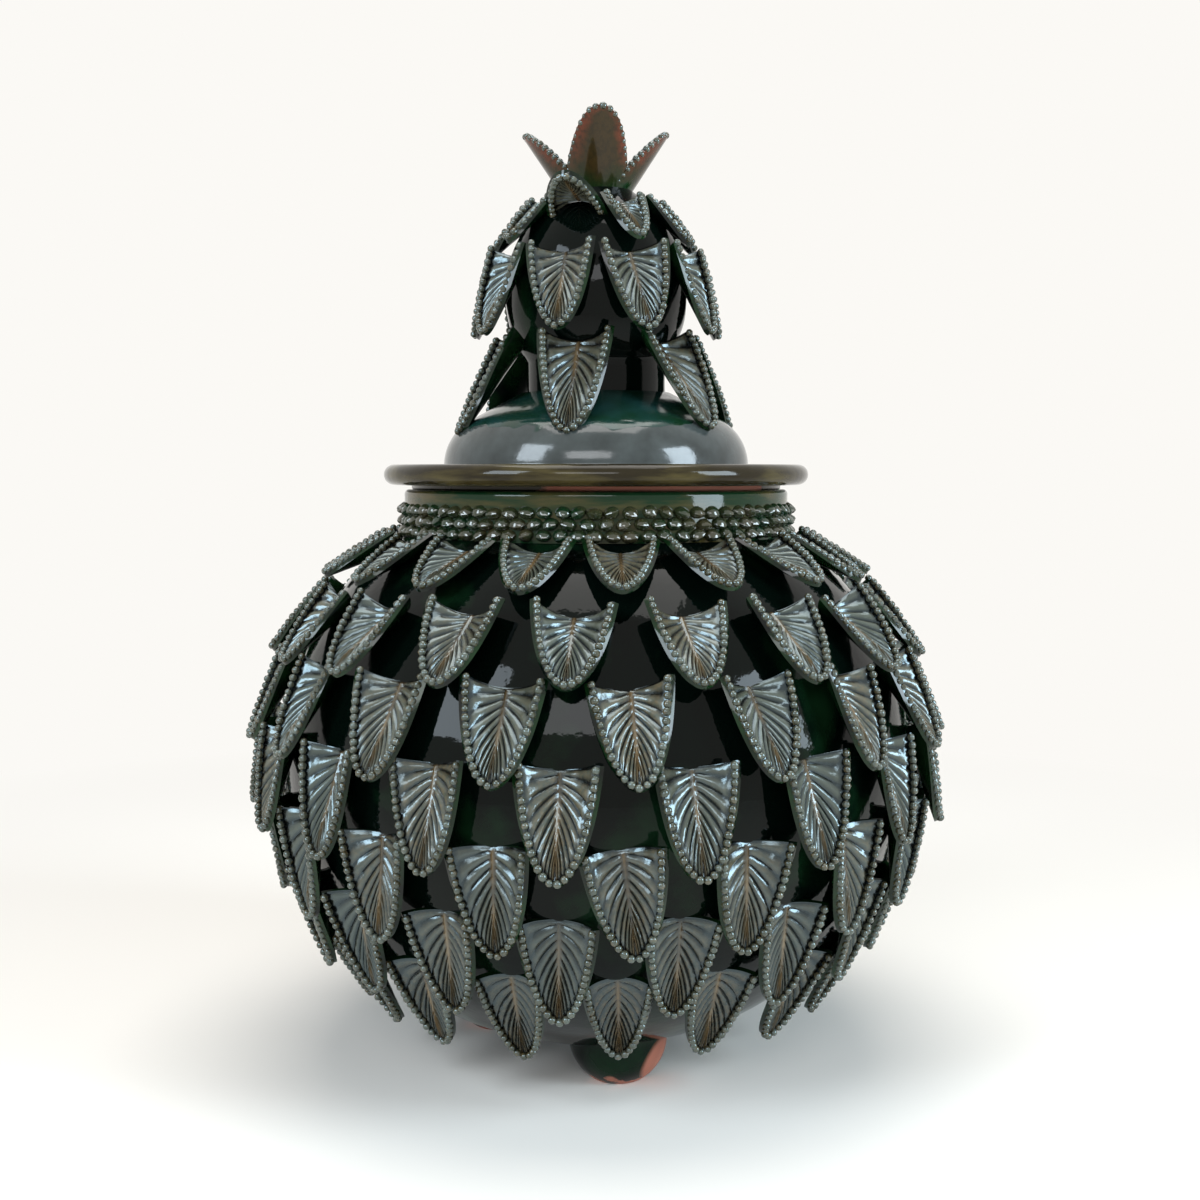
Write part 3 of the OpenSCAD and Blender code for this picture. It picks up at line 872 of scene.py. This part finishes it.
class JAR_OT_bowls(bpy.types.Operator):
    """Models the two moulded bowls of the globe"""

    bl_idname = "jar.bowls"
    bl_label = "Globe"

    BELLY_STEPS, SHOULDER_STEPS = 40, 32
    WOBBLE_SCALE = 30

    def execute(self, context):
        jar, _, _, colours = sizes()
        globe = GlobeForm(jar)
        glaze = shared(bottle_glaze, colours)
        belly_x, shoulder_x = globe.r - globe.belly, globe.r - globe.shoulder
        inner_belly, inner_shoulder = globe.belly - jar.wall_t, globe.shoulder - jar.wall_t
        floor_z = jar.base_z + jar.wall_t

        down = math.degrees(math.asin((globe.z - jar.base_z) / globe.belly))
        floor = math.degrees(math.asin((globe.z - floor_z) / inner_belly))
        lower = Profile(0, jar.base_z).line(jar.base_r, jar.base_z)
        lower.arc(belly_x, globe.z, down, self.BELLY_STEPS)
        lower.line(globe.r - jar.wall_t, globe.z)
        lower.arc(belly_x, globe.z, -floor, self.BELLY_STEPS)
        lower.line(0, floor_z)
        bm = lower.turn()
        wobble(bm, jar.wobble, self.WOBBLE_SCALE, seed=1, seam=globe.z)
        add_piece(bm, "globe_lower", "jar", "lower_bowl", [glaze])

        up = math.degrees(math.acos((globe.bore - shoulder_x) / globe.shoulder))
        inside = math.degrees(math.acos((globe.bore - shoulder_x) / inner_shoulder))
        upper = Profile(globe.r, globe.z)
        upper.arc(shoulder_x, globe.z, up, self.SHOULDER_STEPS)
        upper.line(globe.bore, globe.z + inner_shoulder * math.sin(math.radians(inside)))
        upper.arc(shoulder_x, globe.z, -inside, self.SHOULDER_STEPS)
        upper.close()
        bm = upper.turn()
        wobble(bm, jar.wobble, self.WOBBLE_SCALE, seed=2, seam=globe.z)
        add_piece(bm, "globe_upper", "jar", "upper_bowl", [glaze])
        return {"FINISHED"}


class JAR_OT_collar(bpy.types.Operator):
    """Models the collar with its rim"""

    bl_idname = "jar.collar"
    bl_label = "Collar"

    OUTER_STEPS, INNER_STEPS = 6, 4

    def execute(self, context):
        jar, _, _, colours = sizes()
        globe = GlobeForm(jar)
        _, shoulder_z = globe.seat(globe.collar_lat)
        inner = globe.bore
        curve = jar.rim_round
        profile = Profile(jar.collar_r, shoulder_z)
        profile.line(jar.collar_r, jar.rim_z - curve)
        profile.arc(jar.collar_r - curve, jar.rim_z - curve, 90, self.OUTER_STEPS)
        profile.line(inner + curve / 2, jar.rim_z)
        profile.arc(inner + curve / 2, jar.rim_z - curve / 2, 90, self.INNER_STEPS)
        profile.line(inner, jar.neck_z)
        profile.close()
        bm = profile.turn()
        glaze = shared(collar_glaze, colours)
        add_piece(bm, "collar_band", "jar", "collar", [glaze])
        return {"FINISHED"}


class JAR_OT_pellets(bpy.types.Operator):
    """Sets the pinched pellets round the collar"""

    bl_idname = "jar.pellets"
    bl_label = "Pellets"

    SEED = 5
    # How unevenly the pellets are set: share of their pitch, metres, and radians.
    PITCH_SPREAD, RISE_SPREAD, ROLL_SPREAD = 0.06, 0.0002, 0.22
    NOD, NOD_SPREAD = 0.25, 0.15
    WIDTHS, DEPTHS, HEIGHTS = (0.9, 1.06), (0.88, 1.08), (0.92, 1.05)
    # Share of its height that a pellet loses at its outer end.
    PINCH = 0.35

    def execute(self, context):
        jar, _, _, colours = sizes()
        glaze = shared(pellet_lustre, colours)
        rng = random.Random(self.SEED)
        step = math.tau / jar.pellet_count
        for row, node in enumerate(PELLET_ROWS):
            low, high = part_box(node)
            middle = (low.z + high.z) / 2
            bm = bmesh.new()
            for k in range(jar.pellet_count):
                turned = (k + row / 2) * step + rng.gauss(0, self.PITCH_SPREAD) * step
                height = middle + rng.gauss(0, self.RISE_SPREAD)
                roll = Matrix.Rotation(rng.gauss(0, self.ROLL_SPREAD), 4, "Y")
                nod = Matrix.Rotation(rng.gauss(self.NOD, self.NOD_SPREAD), 4, "X")
                shape = Matrix.Diagonal((
                    jar.pellet_w * rng.uniform(*self.WIDTHS),
                    jar.pellet_out * rng.uniform(*self.DEPTHS),
                    jar.pellet_h * rng.uniform(*self.HEIGHTS),
                    1,
                ))
                made = bmesh.ops.create_uvsphere(
                    bm, u_segments=BEAD_SIDES, v_segments=BEAD_RINGS, radius=1
                )
                for v in made["verts"]:
                    v.co.z *= 1 - self.PINCH * max(0, -v.co.y)
                around = Matrix.Rotation(turned, 4, "Z")
                place = around @ Matrix.Translation((0, -jar.collar_r, height))
                bmesh.ops.transform(bm, matrix=place @ roll @ nod @ shape, verts=made["verts"])
            add_piece(bm, f"pellets_{node.rsplit('_', 1)[1]}", "jar", node, [glaze])
        return {"FINISHED"}


def trim(bm, point, normal):
    """Cuts off what lies beyond a plane and closes the cut."""
    geom = bm.verts[:] + bm.edges[:] + bm.faces[:]
    cut = bmesh.ops.bisect_plane(bm, geom=geom, plane_co=point, plane_no=normal, clear_outer=True)
    rim = [g for g in cut["geom_cut"] if isinstance(g, bmesh.types.BMEdge)]
    bmesh.ops.holes_fill(bm, edges=rim, sides=0)


class JAR_OT_feet(bpy.types.Operator):
    """Models the ball feet, cut flat where they stand and where they meet the globe"""

    bl_idname = "jar.feet"
    bl_label = "Feet"

    SIDES, RINGS = 48, 32

    def execute(self, context):
        jar, _, _, colours = sizes()
        globe = GlobeForm(jar)
        centre_z = math.sqrt(jar.foot_ball_r ** 2 - jar.foot_flat_r ** 2)
        inward = (jar.foot_ring_r - globe.r + globe.belly) / globe.belly
        lat = -math.acos(inward)
        seat_r, seat_z = globe.seat(lat)
        glaze = shared(foot_glaze, colours, jar)
        for k, node in enumerate(FEET):
            bm = bmesh.new()
            bmesh.ops.create_uvsphere(
                bm, u_segments=self.SIDES, v_segments=self.RINGS, radius=jar.foot_ball_r,
                matrix=Matrix.Translation((0, -jar.foot_ring_r, centre_z)),
            )
            outward = Vector((0, -math.cos(lat), math.sin(lat)))
            cut = Vector((0, -seat_r, seat_z)) - outward * jar.wall_t / 2
            trim(bm, cut, -outward)
            trim(bm, Vector((0, 0, 0)), Vector((0, 0, -1)))
            around = jar.foot_turn + k * math.tau / len(FEET)
            turned = Matrix.Rotation(around, 3, "Z")
            bmesh.ops.rotate(bm, verts=bm.verts[:], cent=(0, 0, 0), matrix=turned)
            add_piece(bm, f"{node}_ball", "jar", node, [glaze])
        return {"FINISHED"}


class JAR_OT_leaf_rows(bpy.types.Operator):
    """Presses the leaves and sets them in rows round the globe"""

    bl_idname = "jar.leaf_rows"
    bl_label = "Leaf rows"

    # Turn of each row's first leaf, in degrees.
    ROW_TURN = (6, -4, 5.6, -5.4, 4, -6, 4)
    NARROWED = 2
    SEED = 20

    def execute(self, context):
        jar, leaves, _, colours = sizes()
        globe = GlobeForm(jar)
        glazes = leaf_glazes(colours)
        first = globe.collar_lat * globe.shoulder - leaves.collar_gap
        for i, node in enumerate(ROWS):
            along = first if i == 0 else first - leaves.first_pitch - (i - 1) * leaves.pitch
            lat = globe.lat_at(along)
            r, z = globe.seat(lat)
            rise = lat + (leaves.shoulder_lean if lat >= 0 else leaves.belly_lean)
            narrower = max(0, i + 1 - len(ROWS) + self.NARROWED) * leaves.narrowing
            room = 2 * r * math.tan(math.pi / leaves.count) - leaves.clear
            width = leaves.width - narrower if i else room
            reach = min(leaves.full, leaves.first + i * leaves.growth)
            form = LeafForm(leaves, width, reach, leaves.trough)
            turns = even_turns(leaves.count, self.ROW_TURN[i])
            bm = bmesh.new()
            lay_leaves(bm, leaves, form, [leaf_place(r, z, rise, t) for t in turns], self.SEED + i)
            add_piece(bm, f"leaves_{i + 1}", "jar", node, glazes)
        return {"FINISHED"}


class JAR_OT_lid(bpy.types.Operator):
    """Models the lid with its flange, rolled lip, bare step and locating ring"""

    bl_idname = "jar.lid"
    bl_label = "Lid"

    # Angle in degrees at which the dome's round shoulder ends and its cone begins.
    CONE_LAT = 62
    DOME_STEPS, LIP_STEPS, HOLLOW_STEPS = 20, 28, 16
    DOME, BARE, LIP, STEP = range(4)
    DOWNWARD = -0.2

    def execute(self, context):
        jar, _, lid, colours = sizes()
        flange_z = jar.rim_z + lid.step_h
        flange_top = flange_z + lid.flange_t
        dome_x = lid.dome_r - lid.dome_arc
        lip_x = lid.flange_r - lid.lip_r
        lip_turn = 180 - math.degrees(math.asin(lid.flange_t / 2 / lid.lip_r))
        lip_back = lip_x + lid.lip_r * math.cos(math.radians(lip_turn))
        lat = math.radians(self.CONE_LAT)
        hollow = lid.dome_arc - lid.lid_t
        step_r = jar.collar_r - lid.step_inset
        ring_r = jar.collar_r - jar.collar_t - lid.ring_gap
        cone_r = lid.stem_r + lid.stem_ledge
        low = -math.degrees(math.asin(lid.flange_t / hollow))

        profile = Profile(0, lid.lid_z).line(cone_r, lid.lid_z)
        profile.line(
            dome_x + lid.dome_arc * math.cos(lat), flange_top + lid.dome_arc * math.sin(lat)
        )
        profile.arc(dome_x, flange_top, -self.CONE_LAT, self.DOME_STEPS)
        profile.line(lip_back, flange_top)
        profile.arc(lip_x, flange_z + lid.flange_t / 2, -2 * lip_turn, self.LIP_STEPS)
        profile.line(step_r, flange_z).line(step_r, jar.rim_z)
        profile.line(ring_r, jar.rim_z).line(ring_r, lid.ring_z)
        profile.line(ring_r - lid.ring_t, lid.ring_z).line(ring_r - lid.ring_t, flange_z)
        profile.line(dome_x + hollow * math.cos(math.radians(low)), flange_z)
        profile.arc(dome_x, flange_top, self.CONE_LAT - low, self.HOLLOW_STEPS)
        profile.line(cone_r, lid.lid_z - lid.lid_t)
        profile.line(0, lid.lid_z - lid.lid_t)
        bm = profile.turn()
        soften_edges(bm)
        for face in bm.faces:
            middle = face.calc_center_median()
            r = math.hypot(middle.x, middle.y)
            below = middle.z < flange_z + SOFT_EDGE / 2 and r < jar.collar_r
            inside = face.normal.z < self.DOWNWARD and r < lid.dome_r
            if below and middle.z > jar.rim_z and r > ring_r + lid.step_h:
                face.material_index = self.STEP
            elif below or inside:
                face.material_index = self.BARE
            else:
                face.material_index = self.LIP if r > lip_back else self.DOME
        glazes = [shared(lid_glaze, colours, lid), shared(bare_clay, colours)]
        glazes += [shared(lip_glaze, colours), shared(step_clay, colours, jar)]
        add_piece(bm, "lid_dome", "lid", "lid_cover", glazes)
        return {"FINISHED"}


class KnobForm:
    """Profile arc of the knob's core."""

    def __init__(self, lid):
        self.x = lid.knob_r - lid.knob_arc
        self.z = lid.lid_z + lid.knob_rise
        self.arc = lid.knob_arc

    def seat(self, lat):
        """Radius and height of the core's surface at an angle from its widest point."""
        return self.x + self.arc * math.cos(lat), self.z + self.arc * math.sin(lat)


class JAR_OT_knob(bpy.types.Operator):
    """Models the knob's core and stem"""

    bl_idname = "jar.knob"
    bl_label = "Knob core"

    ARC_STEPS = 40
    WOBBLE_SCALE = 60

    def execute(self, context):
        jar, _, lid, colours = sizes()
        knob = KnobForm(lid)
        low = -math.degrees(math.acos((lid.stem_r - knob.x) / knob.arc))
        high = math.degrees(math.asin((lid.knob_top - knob.z) / knob.arc))
        profile = Profile(0, lid.lid_z).line(lid.stem_r, lid.lid_z)
        profile.line(lid.stem_r, knob.seat(math.radians(low))[1])
        profile.arc(knob.x, knob.z, high - low, self.ARC_STEPS)
        profile.line(0, lid.knob_top)
        bm = profile.turn()
        wobble(bm, jar.wobble, self.WOBBLE_SCALE, seed=3)
        glaze = shared(bottle_glaze, colours)
        add_piece(bm, "knob_heart", "lid", "knob_core", [glaze])
        return {"FINISHED"}


class JAR_OT_knob_leaves(bpy.types.Operator):
    """Sets the three rows of leaves round the knob"""

    bl_idname = "jar.knob_leaves"
    bl_label = "Knob leaves"

    # Leaves, angles of their seat, rise and first turn in degrees, then width, length and trough.
    KNOB_ROWS = {
        "knob_leaves_top": (9, 44, 50, 24, 0.0195, 0.025, 0.0085),
        "knob_leaves_middle": (9, 16, 27, 21, 0.030, 0.036, 0.0145),
        "knob_leaves_skirt": (6, -25, 36, -12, 0.0315, 0.046, 0.0155),
    }
    SEED = 40
    CANOPY_ROW = "knob_leaves_top"
    # Rise of the canopy in degrees, then its width, length and trough.
    CANOPY = (105, 0.026, 0.024, 0.012)
    CANOPY_SEED = 50

    def execute(self, context):
        _, leaves, lid, colours = sizes()
        knob = KnobForm(lid)
        glazes = leaf_glazes(colours)
        for k, (node, row) in enumerate(self.KNOB_ROWS.items()):
            count, lat, rise, start, width, reach, trough = row
            r, z = knob.seat(math.radians(lat))
            form = LeafForm(leaves, width, reach, trough)
            turns = even_turns(count, start)
            bm = bmesh.new()
            if node == self.CANOPY_ROW:
                self.lay_canopy(bm, leaves, r, z, turns.pop())
            places = [leaf_place(r, z, math.radians(rise), t) for t in turns]
            lay_leaves(bm, leaves, form, places, self.SEED + k)
            add_piece(bm, f"knob_{node.rsplit('_', 1)[1]}", "lid", node, glazes)
        return {"FINISHED"}

    def lay_canopy(self, bm, leaves, r, z, around):
        """Lays the leaf that is turned over like a canopy, in the last place of its row."""
        rise, width, reach, trough = self.CANOPY
        place = leaf_place(r, z, math.radians(rise), around) @ Matrix.Rotation(math.pi, 4, "Y")
        lay_leaves(bm, leaves, LeafForm(leaves, width, reach, trough), [place], self.CANOPY_SEED)


class JAR_OT_crown(bpy.types.Operator):
    """Sets the four upright leaves of the crown"""

    bl_idname = "jar.crown"
    bl_label = "Crown"

    # Outward lean in degrees of the front and back leaves, and of the side leaves.
    LEAN, SIDE_LEAN = 26, 35
    BEAD_LIFT = -0.0010
    SEED = 60

    def execute(self, context):
        _, leaves, lid, colours = sizes()
        knob = KnobForm(lid)
        glazes = leaf_glazes(colours)[:BACK] + [shared(crown_back, colours)]
        for k, (node, around) in enumerate(CROWN.items()):
            beside = abs(around) == 90
            reach = lid.crown_side_len if beside else lid.crown_len
            form = LeafForm(
                leaves, lid.crown_w, reach, lid.crown_trough, POINTED_TIP, self.BEAD_LIFT
            )
            rise = math.pi - math.radians(self.SIDE_LEAN if beside else self.LEAN)
            foot_z = knob.z + lid.crown_foot
            place = leaf_place(lid.crown_ring_r, foot_z, rise, math.radians(around))
            bm = bmesh.new()
            lay_leaves(bm, leaves, form, [place], self.SEED + k)
            add_piece(bm, node.replace("leaf", "blade"), "lid", node, glazes)
        return {"FINISHED"}


class StageSettings(bpy.types.PropertyGroup):
    """Camera of the stage."""

    distance: length("Camera distance", "Distance of the camera in front of the jar's axis", 0.658)
    eye: length("Camera height", "Height of the camera above the floor", 0.245)
    pitch: turn("Camera pitch", "Downward tilt of the camera", 4.79)
    lens: FloatProperty(
        name="Lens", description="Focal length in millimetres", default=46.5, unit="CAMERA"
    )
    shift: FloatProperty(name="Shift", description="Sideways shift of the frame", default=4 / 1200)


class JAR_OT_stage(bpy.types.Operator):
    """Sets the camera, the floor, the backdrop and the studio lamps"""

    bl_idname = "jar.stage"
    bl_label = "Stage"

    # Place, target, size, brightness and tint.
    LAMPS = {
        "left_window": ((-1.2, -1.0, 0.95), (0.0, 0.0, 0.18), (0.60, 0.90), 12, (0.78, 0.90, 1.0)),
        "right_window": ((1.4, -0.6, 0.65), (0.0, 0.0, 0.16), (0.60, 0.90), 16, (0.74, 0.89, 1.0)),
        "front_wall": ((-0.15, -1.5, 0.85), (0.0, 0.0, 0.18), (0.90, 0.40), 6, (0.95, 0.97, 1.0)),
        "overhead": ((0.0, 0.1, 1.7), (0.0, 0.0, 0.0), (1.2, 1.2), 4, (1.0, 0.98, 0.95)),
    }
    FILL, FILL_LIGHT = (0.95, 0.97, 1.0, 1.0), 0.14
    FLOOR_R, FLOOR_SIDES = 8, 96
    FADE_START, FADE_END = 0.30, 0.75

    def execute(self, context):
        stage = context.scene.jar_stage
        colours = context.scene.jar_colours
        self.set_camera(stage)
        self.set_floor(colours)
        self.set_backdrop(colours)
        for name, lamp in self.LAMPS.items():
            self.set_lamp(name, *lamp)
        context.scene.view_settings.view_transform = "Standard"
        return {"FINISHED"}

    def set_camera(self, stage):
        """Looks at the jar as the photograph does."""
        data = bpy.data.cameras.new("camera")
        data.lens = stage.lens
        data.shift_x = stage.shift
        camera = add_object("camera", data)
        camera.location = (0, -stage.distance, stage.eye)
        camera.rotation_euler = (math.pi / 2 - stage.pitch, 0, 0)
        bpy.context.scene.camera = camera

    def set_floor(self, colours):
        """A pale floor that keeps the jar's shadow and fades into the backdrop."""
        bm = bmesh.new()
        bmesh.ops.create_circle(bm, cap_ends=True, segments=self.FLOOR_SIDES, radius=self.FLOOR_R)
        floor = add_object("floor", kept_mesh(bm, "floor"))
        floor.data.materials.append(self.floor_paper(colours))

    def floor_paper(self, colours):
        """Pale paper, lit near the jar and even further out."""
        finish = FinishNodes("floor_paper")
        finish.done(colours.floor, 0.9, specular=0.0)
        seen = finish.seen()
        far = finish.spread(finish.away(Vector()), self.FADE_START, self.FADE_END)
        even = finish.add("ShaderNodeEmission", {"Color": colours.paper, "Strength": 1.0})
        lit = finish.shader.outputs["BSDF"]
        inputs = {0: finish.combine("MULTIPLY", far, seen), 1: lit, 2: even.outputs["Emission"]}
        both = finish.add("ShaderNodeMixShader", inputs)
        finish.feed(finish.out.inputs["Surface"], both.outputs["Shader"])
        return finish.material

    def set_backdrop(self, colours):
        """A pale backdrop that lights the jar only a little."""
        world = bpy.data.worlds.new("backdrop")
        nodes = Nodes(world)
        fill = nodes.add("ShaderNodeBackground", {"Color": self.FILL, "Strength": self.FILL_LIGHT})
        paper = nodes.add("ShaderNodeBackground", {"Color": colours.paper, "Strength": 1.0})
        inputs = {0: nodes.seen(), 1: fill.outputs["Background"], 2: paper.outputs["Background"]}
        both = nodes.add("ShaderNodeMixShader", inputs)
        nodes.add("ShaderNodeOutputWorld", {"Surface": both.outputs["Shader"]})
        bpy.context.scene.world = world

    def set_lamp(self, name, place, target, size, brightness, tint):
        """A soft box that faces a point of the jar."""
        data = bpy.data.lights.new(name, "AREA")
        data.shape = "RECTANGLE"
        data.size, data.size_y = size
        data.energy = brightness * math.pi * size[0] * size[1]
        data.color = tint
        lamp = add_object(name, data)
        lamp.location = place
        lamp.rotation_euler = (Vector(target) - Vector(place)).to_track_quat("-Z", "Y").to_euler()
        lamp.visible_camera = False


BUILD_ORDER = (
    "bowls", "collar", "pellets", "feet", "leaf_rows",
    "lid", "knob", "knob_leaves", "crown", "stage",
)


class JAR_PT_pieces(bpy.types.Panel):
    """Lists the steps that make the jar"""

    bl_idname = "JAR_PT_pieces"
    bl_label = "Pineapple jar"
    bl_space_type = "VIEW_3D"
    bl_region_type = "UI"
    bl_category = "Jar"

    def draw(self, context):
        for name in BUILD_ORDER:
            self.layout.operator(f"jar.{name}")


CLASSES = (
    JarSizes, LeafSizes, LidSizes, GlazeColours, StageSettings,
    JAR_OT_bowls, JAR_OT_collar, JAR_OT_pellets, JAR_OT_feet, JAR_OT_leaf_rows, JAR_OT_lid,
    JAR_OT_knob, JAR_OT_knob_leaves, JAR_OT_crown, JAR_OT_stage, JAR_PT_pieces,
)
SETTINGS = {
    "jar_sizes": JarSizes,
    "jar_leaves": LeafSizes,
    "jar_lid": LidSizes,
    "jar_colours": GlazeColours,
    "jar_stage": StageSettings,
}


def register():
    """Registers the settings, the operators and the panel."""
    for cls in CLASSES:
        bpy.utils.register_class(cls)
    for name, cls in SETTINGS.items():
        setattr(bpy.types.Scene, name, PointerProperty(type=cls))


def unregister():
    """Takes the settings, the operators and the panel away again."""
    for name in SETTINGS:
        delattr(bpy.types.Scene, name)
    for cls in reversed(CLASSES):
        bpy.utils.unregister_class(cls)


def main():
    """Makes every piece in order."""
    register()
    for name in BUILD_ORDER:
        getattr(bpy.ops.jar, name)()


if __name__ == "__main__":
    main()
